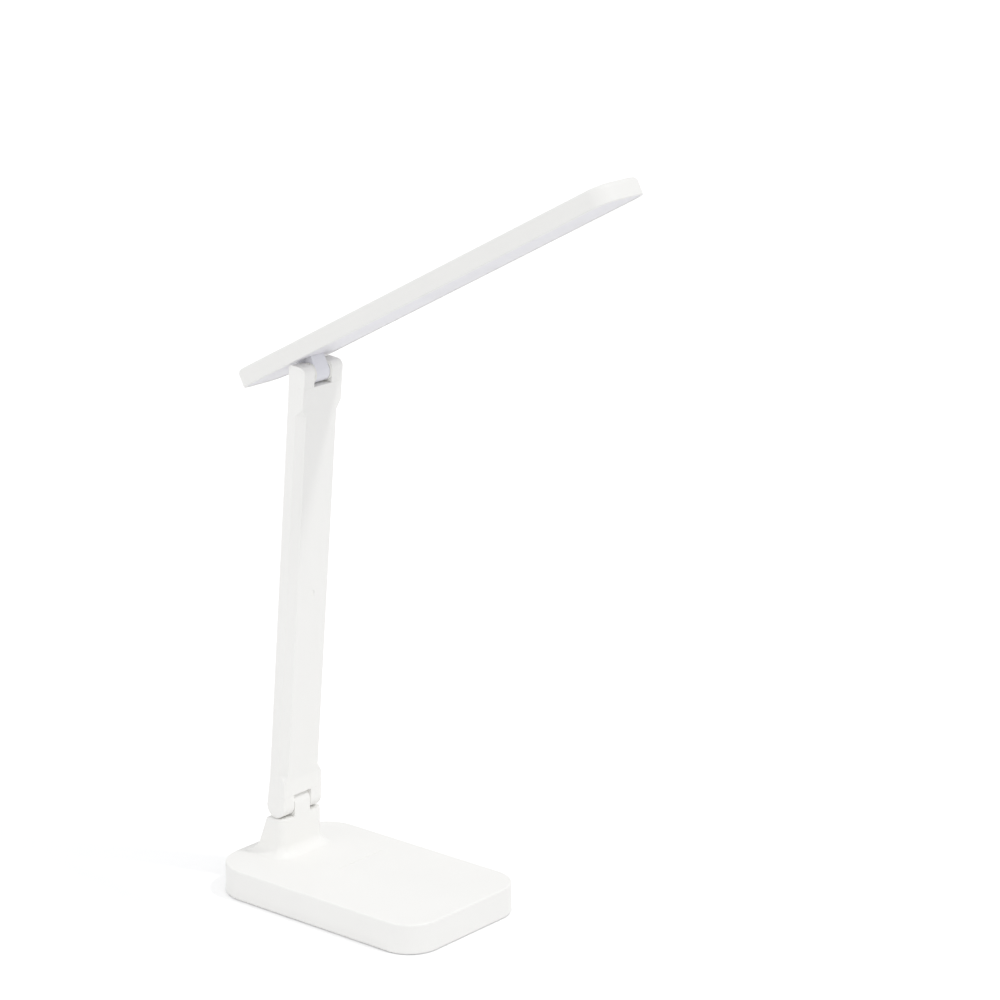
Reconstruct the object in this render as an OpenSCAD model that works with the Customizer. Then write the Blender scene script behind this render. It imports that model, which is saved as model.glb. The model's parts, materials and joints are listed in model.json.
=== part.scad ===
// Folding LED desk lamp: a battery base, a forked arm and a flat light head.
// Millimetres. The origin is the centre of the base on the surface that it stands on.
// +X points to the touch end of the base, +Z points up.

/* [Base] */
// Length of the base
base_l = 130; // [124:1:150]
// Width of the base
base_w = 80; // [76:1:100]
// Height of the base's top above the table
base_top = 15; // [14.5:0.5:20]
// Radius of the base's front corners in plan
base_r = 16; // [12:1:20]
// Radius of the base's rear corners in plan
base_rear_r = 20; // [12:1:22]
// Rounding of the base's top edge
base_edge = 0.8; // [0.4:0.1:1.4]
// Wall of the base's top shell
base_wall = 2; // [1.6:0.1:2.4]
// Thickness of the bottom cover
cover_t = 1.6; // [1.2:0.1:2.2]
// Thickness of the anti-slip pad
pad_t = 0.6; // [0.4:0.1:1.6]
// Distance from the base's edge to the pad's edge
pad_margin = 2; // [1.5:0.5:6]
// Length of the fine groove across the base's top
groove_l = 30; // [10:1:40]
// Width of the fine groove
groove_w = 0.4; // [0.3:0.1:1.2]
// Depth of the fine groove
groove_depth = 0.15; // [0.1:0.05:0.8]
// Place of the groove along the base, from its centre
groove_x = -11; // [-20:1:20]
// Place of the groove's middle across the base, from its centre
groove_y = 9.5; // [0:0.5:15]

/* [Pedestal] */
// Distance from the base's rear end to the lower hinge axis
pivot_setback = 19.3; // [19.3:0.1:25]
// Height of the lower hinge axis above the base's top
pivot_rise = 24.5; // [22:0.5:30]
// Depth of the pedestal's shoulder below the lower hinge axis
shoulder_drop = 5.8; // [5.8:0.1:7]
// Reach of the pedestal behind the hinge axis at its top
pedestal_back = 4.8; // [4.7:0.1:7]
// Reach of the pedestal's sides past the sides of the arm
pedestal_step = 1.6; // [0:0.1:3]
// Lean of the pedestal's rear face in degrees
rear_slope = 21; // [10:1:21]
// Fillet between the pedestal's rear face and the base
rear_fillet = 9; // [3:0.2:9]
// Fillet between the pedestal's front and sides and the base
foot_fillet = 5.5; // [3:0.5:7]
// Radius of the pedestal's front corners in plan
pedestal_r = 4; // [1:0.5:5.5]
// Wall round the pedestal's hollow
pedestal_wall = 2.4; // [1.8:0.1:3]

/* [Hinges] */
// Diameter of the hinge bolts
bolt_d = 4; // [3:0.1:4.4]
// Width of the pedestal's tongue, between the arm's lower ears
knuckle_w = 10.5; // [9.5:0.5:13]
// Radius of the lower knuckle, which is the pedestal's tongue
knuckle_r = 5.4; // [5.2:0.1:5.6]
// Radius of the upper knuckle, which turns with the head
upper_knuckle_r = 4.8; // [4.6:0.1:5.2]
// Radius of the arm's round lower ears
ear_r = 5.6; // [5.2:0.1:5.7]
// Reach of the arm's upper ears in front of and behind their axis
upper_ear_reach = 4.9; // [4.7:0.1:5.6]
// Height of the arm's upper ears above their axis
upper_ear_rise = 4.6; // [4.4:0.1:5.4]
// Radius of the upper ears' front corners
ear_front_r = 3.2; // [1:0.1:4.4]
// Radius of the upper ears' rear corners
ear_rear_r = 1.6; // [1:0.1:4.4]
// Thickness of the lower hinge's friction washers
washer_t = 0.4; // [0.2:0.05:0.4]
// Radius of the lower hinge's friction washers
washer_r = 5.3; // [3.8:0.1:5.3]
// Thickness of the upper hinge's friction washers
upper_washer_t = 1.2; // [0.4:0.1:1.5]
// Radius of the upper hinge's friction washers
upper_washer_r = 5; // [3.8:0.1:5]
// Radius of the bolt heads, nuts and their pockets' caps
bolt_head_r = 3.6; // [3:0.1:3.8]
// Height of the bolt heads
bolt_head_t = 2.2; // [1.6:0.1:2.6]
// Radius of the hexagon sockets in the bolt heads
bolt_hex_r = 1.4; // [1:0.1:1.6]
// Depth of the hexagon sockets in the bolt heads
bolt_hex_depth = 1.5; // [0.8:0.1:1.6]
// Height of the hinge nuts
hinge_nut_t = 2.6; // [2:0.1:3]
// Thickness of the caps over the bolt heads and nuts
cap_t = 0.9; // [0.6:0.1:1.2]

/* [Arm] */
// Distance between the two hinge axes
arm_pitch = 215; // [212:1:260]
// Width of the arm
arm_w = 25.8; // [25:0.2:34]
// Depth of the arm from front to rear
arm_d = 9.4; // [9:0.1:10.6]
// Wall of the arm's shells
arm_wall = 1.6; // [1.2:0.1:1.8]
// Forward lean of the arm as photographed, in degrees
arm_lean = 4.9; // [0:0.1:10]
// Gap between each knuckle and the end of the front cover
cover_gap = 0.4; // [0.35:0.05:1]
// Length over which the ears blend into the arm's faces
ear_blend = 14; // [8:1:20]
// Width of the front chamfers, seen from the front
chamfer_w = 2.7; // [2:0.1:5]
// Depth of the front chamfers, seen from the side
chamfer_d = 4.2; // [3.5:0.1:4.6]
// Distance from the lower hinge axis to the pointed tips of the chamfers
chamfer_tip_low = 13.5; // [9:0.1:30]
// Distance from the upper hinge axis to the pointed tips of the chamfers
chamfer_tip_high = 14.8; // [9:0.1:30]
// Length of the chamfers' pointed tips
chamfer_taper = 4; // [3:0.5:12]

/* [Head] */
// Reach of the head in front of its hinge axis
head_front = 208.6; // [150:0.1:209]
// Reach of the head behind its hinge axis
head_rear = 37.4; // [30:0.1:50]
// Width of the head
head_w = 31; // [29:0.5:46]
// Thickness of the head
head_t = 8.5; // [8:0.1:11]
// Radius of the head's corners in plan
head_r = 9; // [6:0.5:14]
// Rounding of the head's top edge
head_edge = 2.2; // [1:0.1:3]
// Wall of the head's shell
head_wall = 1.6; // [1.3:0.1:1.8]
// Tilt of the head as photographed, in degrees
head_tilt = 28.2; // [0:0.1:40]
// Distance from the upper hinge axis to the head's underside
head_offset = 6.4; // [6.2:0.1:10]
// Thickness of the milky diffuser
diffuser_t = 1.5; // [1:0.1:2]
// Depth of the diffuser below the rim of the shell
diffuser_recess = 0.3; // [0.1:0.1:0.6]
// Width of the ledge that the diffuser rests on
ledge_w = 1.2; // [0.8:0.1:2]
// Thickness of the bracket's plate inside the head
bracket_t = 1.8; // [1.4:0.1:2]
// Length of the bracket's plate
bracket_l = 32; // [28:1:36]
// Width of the bracket's plate
bracket_w = 18; // [15:1:22]

/* [Light] */
// Number of lamps on the light board
led_count = 28; // [8:2:36]
// Length of each lamp along the board
led_l = 2.8; // [2:0.1:3.5]
// Width of each lamp
led_w = 3.5; // [2:0.1:5]
// Height of each lamp
led_t = 0.7; // [0.5:0.1:1]
// Thickness of the light board
led_board_t = 1; // [0.8:0.1:1.6]
// Width of the light board
led_board_w = 12; // [9:0.5:16]
// Distance from the upper hinge axis to the start of the light board
led_board_start = 18; // [18:1:30]
// Distance from the end of the light board to the head's front end
led_board_stop = 6; // [4:0.5:20]
// Thickness of the white reflector sheet
reflector_t = 0.3; // [0.2:0.05:0.5]
// Gap between the reflector sheet and the head's walls
reflector_gap = 1; // [0.3:0.1:2]

/* [Battery and ballast] */
// Length of the battery
battery_l = 48; // [30:1:50]
// Width of the battery
battery_w = 36; // [24:1:40]
// Thickness of the battery
battery_t = 5.5; // [3:0.1:5.8]
// Distance from the base's centre to the battery's rear edge, towards the rear
battery_back = 18; // [12:1:20]
// Radius of the battery's corners
battery_r = 2.5; // [1.5:0.1:4]
// Rounding of the battery's top edge
battery_edge = 1.2; // [0.5:0.1:1.4]
// Thickness of the foam tape under the battery
tape_t = 0.5; // [0.3:0.1:0.7]
// Distance from the battery's edge to the foam tape
tape_margin = 5; // [2:0.5:8]
// Thickness of the steel ballast plate
ballast_t = 3; // [2:0.1:3]
// Length of the ballast plate
ballast_l = 66; // [50:1:67]
// Width of the ballast plate
ballast_w = 60; // [50:1:64]
// Radius of the ballast plate's corners
ballast_r = 3; // [1:0.5:6]
// Distance from the base's centre to the ballast plate's rear edge, towards the rear
ballast_back = 20; // [14:1:22]

/* [Electronics] */
// Length of the control board
board_l = 35; // [34:0.5:38]
// Width of the control board
board_w = 38; // [36:1:40]
// Thickness of the control board
board_t = 1.6; // [1:0.1:1.6]
// Gap between the bottom cover and the control board
board_gap = 2.2; // [1.7:0.1:2.4]
// Distance from the shell's rear wall to the control board
board_set = 0.5; // [0.3:0.1:1.5]
// Distance from the control board's sides and front end to its screws
post_set = 4.2; // [4:0.1:5]
// Distance from the control board's rear end to its rear screws
post_rear_set = 7.5; // [7:0.5:9]
// Width of the charging socket
usb_w = 8.94; // [8.9:0.01:9]
// Height of the charging socket
usb_h = 3.2; // [3.16:0.01:3.3]
// Depth of the charging socket
usb_l = 7.3; // [6.5:0.1:8]
// Wall of the charging socket's metal shell
usb_wall = 0.3; // [0.2:0.05:0.4]
// Depth of the charging socket's mouth below the base's rear face
usb_set = 0.3; // [0.1:0.1:0.8]
// Gap round the charging socket in the rear wall
usb_gap = 0.3; // [0.1:0.05:0.4]
// Diameter of the charge indicator's light pipe
pipe_d = 2.5; // [1.5:0.1:3]
// Reach of the light pipe past the rear wall, towards the board's lamp
pipe_reach = 3; // [1:0.5:4]
// Distance from the charging socket's centre to the light pipe
pipe_y = 10; // [8:0.5:13]
// Distance from the base's front end to the middle of the touch zone
touch_set = 24; // [20:1:30]
// Radius of the touch electrode
touch_r = 9; // [6:0.5:11]
// Thickness of the touch electrode
touch_t = 0.3; // [0.1:0.05:0.5]
// Diameter of the thin wires
lead_d = 1; // [0.8:0.1:1.2]
// Diameter of the lamp cable that runs up the arm
cable_d = 1.4; // [1:0.1:1.5]

/* [Screws] */
// Diameter of the bottom cover's screws
cover_screw_d = 2; // [1.6:0.1:2.4]
// Diameter of the heads of the bottom cover's screws
cover_head_d = 4.6; // [4:0.1:5.4]
// Diameter of the bottom cover's screw bosses
cover_boss_d = 7; // [6:0.1:8]
// Distance from the base's sides and ends to the bottom cover's screws
cover_screw_set = 12; // [11:0.5:13]
// Diameter of the small screws in the head, the arm and on the boards
small_screw_d = 1.6; // [1.4:0.1:1.8]
// Diameter of the small screws' heads
small_head_d = 3; // [2.6:0.1:3.2]
// Height of all the countersunk and pan heads
screw_head_t = 0.7; // [0.5:0.05:0.9]
// Depth of the plug over the arm's screw
plug_t = 0.9; // [0.6:0.1:1]
// Depth of the plug below the arm's front face
plug_recess = 0.25; // [0.1:0.05:0.4]

/* [Clearances] */
// Running clearance round the hinge bolts, on the radius
run_clear = 0.05; // [0.02:0.01:0.09]
// Gap between the pedestal's tongue and each ear
side_gap = 0.5; // [0.45:0.05:0.7]
// Gap between the arm's ears and the pedestal's shoulders
shoulder_gap = 0.3; // [0.3:0.05:0.5]
// Clearance round covers and panels
fit = 0.1; // [0.05:0.01:0.2]
// Clearance round wires in their holes, on the radius
wire_clear = 0.2; // [0.1:0.05:0.3]

/* [Hidden] */
$fn = 64;
// A cut runs this far past a face, and a blend ends this far inside one
over = 1;
sink = 0.05;

// Levels in the base
cover_z = pad_t;
floor_z = cover_z + cover_t;
ceiling_z = base_top - base_wall;
ballast_top = floor_z + ballast_t;
battery_z = ballast_top + tape_t;
board_z = floor_z + board_gap;
board_top = board_z + board_t;
usb_z = board_top + usb_h / 2;

// Places in the base
rear_x = -base_l / 2;
inner_rear_x = rear_x + base_wall;
pivot_x = rear_x + pivot_setback;
pivot_z = base_top + pivot_rise;
shoulder_z = pivot_z - shoulder_drop;
board_x = inner_rear_x + board_set;
board_post_x = [board_x + post_rear_set, board_x + board_l - post_set];
board_post_y = board_w / 2 - post_set;
cover_screw_x = base_l / 2 - cover_screw_set;
cover_screw_y = base_w / 2 - cover_screw_set;
battery_plug_set = 1;
battery_plug_x = board_x + board_l - battery_plug_set;
battery_plug_y = 8;
lamp_plug_set = 22.5;
lamp_plug_rise = 3.4;
lamp_plug_x = board_x + lamp_plug_set;
lamp_plug_z = board_top + lamp_plug_rise;
plug_l = 6;
plug_w = 6;
touch_x = base_l / 2 - touch_set;
touch_lead_set = 4;
touch_lead_x = board_x + board_l - touch_lead_set;

// Posts that hold the ballast plate down, and the wall round every screw's thread
hold_down_set = 4;
hold_down_d = 5;
hold_down_x = [-ballast_back + 2 * hold_down_set, -ballast_back + ballast_l - 2 * hold_down_set];
hold_down_y = ballast_w / 2 - hold_down_set;
boss_wall = 1.4;
thread_top = ceiling_z - base_wall;
thread_spare = 1;

// Hinge widths
slot_w = knuckle_w + 2 * side_gap;
upper_knuckle_w = slot_w - 2 * (upper_washer_t + side_gap - washer_t);
bolt_r = bolt_d / 2;
pocket_head_y = arm_w / 2 - cap_t - bolt_head_t;
pocket_nut_y = arm_w / 2 - cap_t - hinge_nut_t;

// Levels across the arm, from the plane of its hinge axes
arm_front_x = arm_d / 2;
split_x = arm_front_x - chamfer_d;
arm_inner_x = arm_front_x - arm_wall;
arm_boss_r = small_head_d / 2 + 1;
screw_seat_t = 1.2;
screw_seat_x = split_x + screw_seat_t;

// Ends of the front cover, from the lower and the upper hinge axis
cover_low = knuckle_r + cover_gap;
cover_high = upper_knuckle_r + cover_gap;
cover_l = arm_pitch - cover_low - cover_high;

// Cable places: across the knuckles and inside the arm
cable_r = cable_d / 2;
cable_hole_r = cable_r + wire_clear;
cable_y = arm_boss_r + cable_hole_r;
cable_back = bolt_r + (min(knuckle_r, upper_knuckle_r) - bolt_r) / 2;
cable_top = upper_knuckle_r / 2;
arm_cable_x = (split_x - arm_front_x + arm_wall) / 2;
head_cable_set = 1.4;
head_cable_y = upper_knuckle_w / 2 - head_cable_set;

// Levels in the head, from the upper hinge axis towards the head's top
head_l = head_front + head_rear;
head_mid = (head_front - head_rear) / 2;
head_top = head_offset + head_t;
head_ceiling = head_top - head_wall;
diffuser_z = head_offset + diffuser_recess;
ledge_z = diffuser_z + diffuser_t;
bracket_z = ledge_z + fit;
bracket_top = bracket_z + bracket_t;
bracket_screw_set = 4.5;
bracket_screw_x = bracket_l / 2 - bracket_screw_set;
led_board_z = head_ceiling - led_board_t;
led_z = led_board_z - led_t;
led_board_l = head_front - led_board_stop - led_board_start;
led_step = led_board_l / led_count;

// Colours
white = [0.95, 0.95, 0.93];
milky = [0.92, 0.91, 0.95];
steel = [0.72, 0.73, 0.75];
dark = [0.15, 0.15, 0.16];
board_green = [0.10, 0.38, 0.22];
copper = [0.80, 0.50, 0.25];

// A plan rectangle with round corners
module rounded_rect(l, w, r) {
    square([l - 2 * r, w], center = true);
    square([l, w - 2 * r], center = true);
    for (x = [-1, 1], y = [-1, 1])
        translate([x * (l / 2 - r), y * (w / 2 - r)]) circle(r);
}

// The section across a slab whose top edges are rounded
module edge_section(l, h, e) {
    translate([-l / 2, 0]) square([l, h - e]);
    translate([-l / 2 + e, 0]) square([l - 2 * e, h]);
    for (x = [-1, 1]) translate([x * (l / 2 - e), h - e]) circle(e);
}

// A slab with round corners in plan and a rounded top edge
module rounded_slab(l, w, h, r, e) {
    rotate([90, 0, 0]) linear_extrude(w - 2 * r, center = true) edge_section(l, h, e);
    rotate([90, 0, 90]) linear_extrude(l - 2 * r, center = true) edge_section(w, h, e);
    for (x = [-1, 1], y = [-1, 1])
        translate([x * (l / 2 - r), y * (w / 2 - r), 0]) rotate_extrude() {
            square([r, h - e]);
            square([r - e, h]);
            translate([r - e, h - e]) circle(e);
        }
}

// Plan of the base, drawn in from its edge, with a corner radius for each end
module base_plan(inset) {
    for (x = [-1, 1])
        translate([x * (base_l / 4 - inset / 2), 0])
            rounded_rect(base_l / 2 - inset, base_w - 2 * inset, (x < 0 ? base_rear_r : base_r) - inset);
    translate([(base_rear_r - base_r) / 2, 0])
        square([base_l - base_r - base_rear_r, base_w - 2 * inset], center = true);
}

// Block of the base with a rounded top edge
module base_block(h) {
    for (x = [-1, 1])
        translate([x * base_l / 4, 0, 0])
            rounded_slab(base_l / 2, base_w, h, x < 0 ? base_rear_r : base_r, base_edge);
    translate([(base_rear_r - base_r) / 2, 0, 0]) rotate([90, 0, 90])
        linear_extrude(base_l - base_r - base_rear_r, center = true) edge_section(base_w, h, base_edge);
}

// A rod along Y, centred
module rod_y(r, l) {
    rotate([90, 0, 0]) cylinder(r = r, h = l, center = true);
}

// A rod along X, starting at x = 0
module rod_x(r, l) {
    rotate([0, 90, 0]) cylinder(r = r, h = l);
}

// A round wire through a list of points
module wire(points, r) {
    for (i = [1 : len(points) - 1]) {
        step = points[i] - points[i - 1];
        length = norm(step);
        turn = atan2(step[1], step[0]);
        tilt = acos(step[2] / length);
        translate(points[i - 1]) rotate([0, tilt, turn]) cylinder(r = r, h = length);
        if (i < len(points) - 1) translate(points[i]) sphere(r);
    }
}

// The frame of the arm: its z runs from the lower hinge axis to the upper one
module at_arm() {
    translate([pivot_x, 0, pivot_z]) rotate([0, arm_lean, 0]) children();
}

// The frame of the head: its x runs along the head and its z to the head's top
module at_head() {
    at_arm() translate([0, 0, arm_pitch]) rotate([0, -arm_lean - head_tilt, 0]) children();
}

// Places of the bottom cover's screws
module at_cover_screws() {
    for (x = [-1, 1], y = [-1, 1])
        translate([x * cover_screw_x, y * cover_screw_y, 0]) children();
}

// Places of the control board's screws
module at_board_screws() {
    for (x = board_post_x, y = [-1, 1])
        translate([x, y * board_post_y, 0]) children();
}

// Side outline of the pedestal, in X and Z
module pedestal_side() {
    foot_x = pivot_x - pedestal_back - (shoulder_z - base_top) * tan(rear_slope);
    foot_l = rear_fillet * tan((90 - rear_slope) / 2);
    front_x = pivot_x + knuckle_r;
    difference() {
        polygon([
            [foot_x - foot_l, base_top - over],
            [foot_x - foot_l, base_top],
            [foot_x + foot_l * sin(rear_slope), base_top + foot_l * cos(rear_slope)],
            [pivot_x - pedestal_back, shoulder_z],
            [front_x, shoulder_z],
            [front_x, base_top + foot_fillet],
            [front_x + foot_fillet, base_top],
            [front_x + foot_fillet, base_top - over]
        ]);
        translate([foot_x - foot_l, base_top + rear_fillet - sink]) circle(rear_fillet);
        translate([front_x + foot_fillet, base_top + foot_fillet - sink]) circle(foot_fillet);
    }
}

// Half of the pedestal's front outline: its side lies at y = half, its foot flares out
module flared_half(half) {
    difference() {
        polygon([
            [0, base_top - over], [half + foot_fillet, base_top - over],
            [half + foot_fillet, base_top], [half, base_top + foot_fillet],
            [half, shoulder_z], [0, shoulder_z]
        ]);
        translate([half + foot_fillet, base_top + foot_fillet - sink]) circle(foot_fillet);
    }
}

// The pedestal without its tongue: round front corners and a flared foot
module pedestal_body() {
    half = arm_w / 2 + pedestal_step;
    corner_x = pivot_x + knuckle_r - pedestal_r;
    reach = base_l / 4;
    intersection() {
        rotate([90, 0, 0]) linear_extrude(2 * (half + foot_fillet), center = true) pedestal_side();
        translate([corner_x - reach, 0, 0]) rotate([90, 0, 90]) linear_extrude(reach) {
            flared_half(half);
            mirror([1, 0]) flared_half(half);
        }
    }
    rotate([90, 0, 0]) linear_extrude(2 * (half - pedestal_r), center = true) pedestal_side();
    for (y = [-1, 1]) translate([corner_x, y * (half - pedestal_r), 0])
        rotate_extrude() flared_half(pedestal_r);
}

// The pedestal with the tongue that carries the lower hinge
module pedestal() {
    difference() {
        pedestal_body();
        for (y = [-1, 1])
            translate([pivot_x, y * (knuckle_w + arm_w + foot_fillet) / 2, pivot_z])
                rod_y(ear_r + shoulder_gap, arm_w + foot_fillet);
    }
    rotate([90, 0, 0]) linear_extrude(knuckle_w, center = true) {
        translate([pivot_x, pivot_z]) circle(knuckle_r);
        translate([pivot_x - knuckle_r, shoulder_z - over])
            square([2 * knuckle_r, pivot_z - shoulder_z + over]);
    }
}

// Hollow of the pedestal and the cable's way up through the tongue
module pedestal_hollow() {
    back = cable_back + cable_hole_r;
    front = knuckle_r - pedestal_wall;
    top = shoulder_z - pedestal_wall;
    translate([pivot_x - back, -arm_w / 2 + pedestal_wall, ceiling_z - over])
        cube([back + front, arm_w - 2 * pedestal_wall, top - ceiling_z + over]);
    translate([pivot_x - cable_back, cable_y, top - over]) cylinder(r = cable_hole_r, h = pivot_rise);
}

// Outline of the charging socket, in Y and Z
module usb_outline(grow) {
    r = usb_h / 2 + grow;
    square([usb_w - usb_h, 2 * r], center = true);
    for (y = [-1, 1]) translate([y * (usb_w - usb_h) / 2, 0]) circle(r);
}

// A length of the charging socket's outline along X, starting at x
module usb_bar(x, l, grow) {
    translate([x, 0, usb_z]) rotate([90, 0, 90]) linear_extrude(l) usb_outline(grow);
}

// White top housing of the base, with the pedestal and the screw bosses
module base_top_shell() {
    color(white) difference() {
        union() {
            difference() {
                union() {
                    translate([0, 0, cover_z]) base_block(base_top - cover_z);
                    pedestal();
                }
                translate([0, 0, cover_z - over]) linear_extrude(ceiling_z - cover_z + over)
                    base_plan(base_wall);
                pedestal_hollow();
            }
            at_cover_screws() translate([0, 0, floor_z])
                cylinder(d = cover_boss_d, h = ceiling_z - floor_z + sink);
            at_board_screws() translate([0, 0, board_top])
                cylinder(d = small_screw_d + 2 * boss_wall, h = ceiling_z - board_top + sink);
            for (x = hold_down_x, y = [-1, 1]) translate([x, y * hold_down_y, ballast_top])
                cylinder(d = hold_down_d, h = ceiling_z - ballast_top + sink);
        }
        translate([pivot_x, 0, pivot_z]) rod_y(bolt_r + run_clear, knuckle_w + 2 * over);
        at_cover_screws() translate([0, 0, floor_z - over])
            cylinder(d = cover_screw_d, h = thread_top - floor_z + over);
        at_board_screws() translate([0, 0, board_top - over])
            cylinder(d = small_screw_d, h = thread_top - board_top + over);
        usb_bar(rear_x - over, base_wall + 2 * over, usb_gap);
        translate([rear_x - over, pipe_y, usb_z]) rod_x(pipe_d / 2, base_wall + 2 * over);
        translate([groove_x - groove_w / 2, groove_y - groove_l / 2, base_top - groove_depth])
            cube([groove_w, groove_l, over]);
    }
}

// White plate that closes the base from below
module base_bottom_cover() {
    color(white) difference() {
        translate([0, 0, cover_z]) linear_extrude(cover_t) base_plan(base_wall + fit);
        at_cover_screws() {
            translate([0, 0, cover_z - over])
                cylinder(d = cover_screw_d + 4 * fit, h = cover_t + 2 * over);
            translate([0, 0, cover_z - over])
                cylinder(d = cover_head_d + 4 * fit, h = over + screw_head_t);
        }
    }
}

// Soft sheet that the lamp stands on
module anti_slip_pad() {
    color(dark) linear_extrude(pad_t) base_plan(pad_margin);
}

// Four screws through the bottom cover into the shell's bosses
module cover_screws() {
    color(steel) at_cover_screws() {
        translate([0, 0, cover_z + sink]) cylinder(d = cover_head_d, h = screw_head_t - sink);
        translate([0, 0, cover_z + sink])
            cylinder(d = cover_screw_d, h = thread_top - thread_spare - cover_z);
    }
}

// Steel plate that keeps the lamp from tipping
module ballast_plate() {
    color(steel) translate([-ballast_back + ballast_l / 2, 0, floor_z])
        linear_extrude(ballast_t) rounded_rect(ballast_l, ballast_w, ballast_r);
}

// Flat rechargeable cell
module battery_cell() {
    color([0.80, 0.81, 0.84]) translate([-battery_back + battery_l / 2, 0, battery_z])
        rounded_slab(battery_l, battery_w, battery_t, battery_r, battery_edge);
}

// Foam tape that holds the cell on the ballast plate
module battery_tape() {
    plan = [battery_l - 2 * tape_margin, battery_w - 2 * tape_margin];
    color(dark) translate([-battery_back + battery_l / 2, 0, ballast_top])
        linear_extrude(tape_t) square(plan, center = true);
}

// Two wires from the cell to its connector
module battery_leads() {
    z = battery_z + battery_t / 2;
    colours = [[0.75, 0.10, 0.08], dark];
    for (i = [0, 1]) color(colours[i])
        translate([-battery_back, battery_plug_y + (i - 0.5) * 2 * lead_d, z])
            rotate([0, -90, 0]) cylinder(d = lead_d, h = -battery_back - battery_plug_x);
}

// Circuit board that charges the cell and dims the light
module control_board() {
    color(board_green) difference() {
        translate([board_x, -board_w / 2, board_z]) cube([board_l, board_w, board_t]);
        at_board_screws() translate([0, 0, board_z - over])
            cylinder(d = small_screw_d + 4 * fit, h = board_t + 2 * over);
    }
}

// Chips, a coil can and capacitors on the control board, each [x, y, length, width, height]
module board_parts() {
    parts = [
        [12, -9, 5, 5, 1], [20, 2, 4, 4, 1], [19, -10, 6, 6, 3], [28, -6, 3, 1.6, 1.2],
        [28, -2, 3, 1.6, 1.2], [14, 7, 2, 1.2, 0.8], [17, 7, 2, 1.2, 0.8], [25, -15, 5, 3, 1.6]
    ];
    color(dark) {
        for (p = parts) translate([board_x + p[0], p[1], board_top + p[4] / 2])
            cube([p[2], p[3], p[4]], center = true);
        translate([inner_rear_x + pipe_reach + 2 * fit, pipe_y - pipe_d / 2, board_top])
            cube([pipe_d / 3, pipe_d, usb_h]);
    }
}

// White plugs where the wires meet the control board
module wire_connectors() {
    color(white) {
        translate([battery_plug_x - plug_l, battery_plug_y - plug_w / 2, board_top])
            cube([plug_l, plug_w, battery_z + battery_t / 2 + lead_d - board_top]);
        translate([lamp_plug_x, cable_y - plug_w / 3, board_top])
            cube([plug_l * 2 / 3, plug_w * 2 / 3, lamp_plug_z + cable_d - board_top]);
    }
}

// Four screws through the control board into the shell's posts
module board_screws() {
    color(steel) at_board_screws() {
        translate([0, 0, board_z - screw_head_t]) cylinder(d = small_head_d, h = screw_head_t);
        translate([0, 0, board_z - screw_head_t])
            cylinder(d = small_screw_d, h = thread_top - thread_spare - board_z);
    }
}

// Metal shell of the charging socket, open to the rear
module usb_socket_shell() {
    x = rear_x + usb_set;
    color(steel) difference() {
        usb_bar(x, usb_l, 0);
        usb_bar(x - over, usb_l - usb_wall + over, -usb_wall);
    }
}

// Contact tongue inside the charging socket
module usb_contact_tongue() {
    w = usb_w - usb_h + 1;
    t = 0.7;
    color(dark) translate([rear_x + usb_set + 1, -w / 2, usb_z - t / 2])
        cube([usb_l - usb_wall - 1, w, t]);
}

// Clear rod that shows the charge light on the base's rear face
module indicator_light_pipe() {
    color(milky) translate([rear_x, pipe_y, usb_z]) rod_x(pipe_d / 2, base_wall + pipe_reach);
}

// Copper disc under the touch zone
module touch_electrode() {
    color(copper) translate([touch_x, 0, ceiling_z - touch_t]) cylinder(r = touch_r, h = touch_t);
}

// Wire from the touch electrode to the control board
module touch_lead() {
    z = ceiling_z - touch_t - lead_d / 2;
    y = -touch_r / 2;
    color(copper) wire([[touch_x - touch_r / 2, y, z], [touch_lead_x, y, z],
                        [touch_lead_x, y, board_top]], lead_d / 2);
}

// Lamp cable from the control board up through the pedestal's tongue
module base_cable() {
    x = pivot_x - cable_back;
    top = pivot_z + cable_top;
    color(white) wire([[lamp_plug_x, cable_y, lamp_plug_z], [x, cable_y, lamp_plug_z],
                       [x, cable_y, top]], cable_r);
}

// Upper ear in outline, a block whose top corners are rounded
module upper_ear_side() {
    reach = upper_ear_reach;
    rise = upper_ear_rise;
    translate([-reach, 0]) square([2 * reach, rise - ear_front_r]);
    translate([-reach, 0]) square([reach, rise - ear_rear_r]);
    translate([-reach + ear_rear_r, 0]) square([2 * reach - ear_rear_r - ear_front_r, rise]);
    translate([-reach + ear_rear_r, rise - ear_rear_r]) circle(ear_rear_r);
    translate([reach - ear_front_r, rise - ear_front_r]) circle(ear_front_r);
}

// Side outline of the arm, in X and Z of the arm's frame
module arm_side() {
    circle(ear_r);
    translate([0, arm_pitch]) upper_ear_side();
    polygon([
        [-ear_r, 0], [-arm_front_x, ear_blend], [-arm_front_x, arm_pitch - ear_blend],
        [-upper_ear_reach, arm_pitch], [upper_ear_reach, arm_pitch],
        [arm_front_x, arm_pitch - ear_blend], [arm_front_x, ear_blend], [ear_r, 0]
    ]);
}

module arm_solid() {
    rotate([90, 0, 0]) linear_extrude(arm_w, center = true) arm_side();
}

// Turns its children over to the upper hinge, z pointing from its axis down the arm
module at_arm_top() {
    translate([0, 0, arm_pitch]) mirror([0, 0, 1]) children();
}

// Holes for the bolt, its head, its nut and their caps
module bolt_holes() {
    rod_y(bolt_r, arm_w + 2 * over);
    translate([0, -arm_w / 2 + (cap_t + bolt_head_t) / 2 - over / 2, 0])
        rod_y(bolt_head_r, cap_t + bolt_head_t + over);
    translate([0, arm_w / 2 - (cap_t + hinge_nut_t) / 2 + over / 2, 0])
        rod_y(bolt_head_r, cap_t + hinge_nut_t + over);
}

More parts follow.
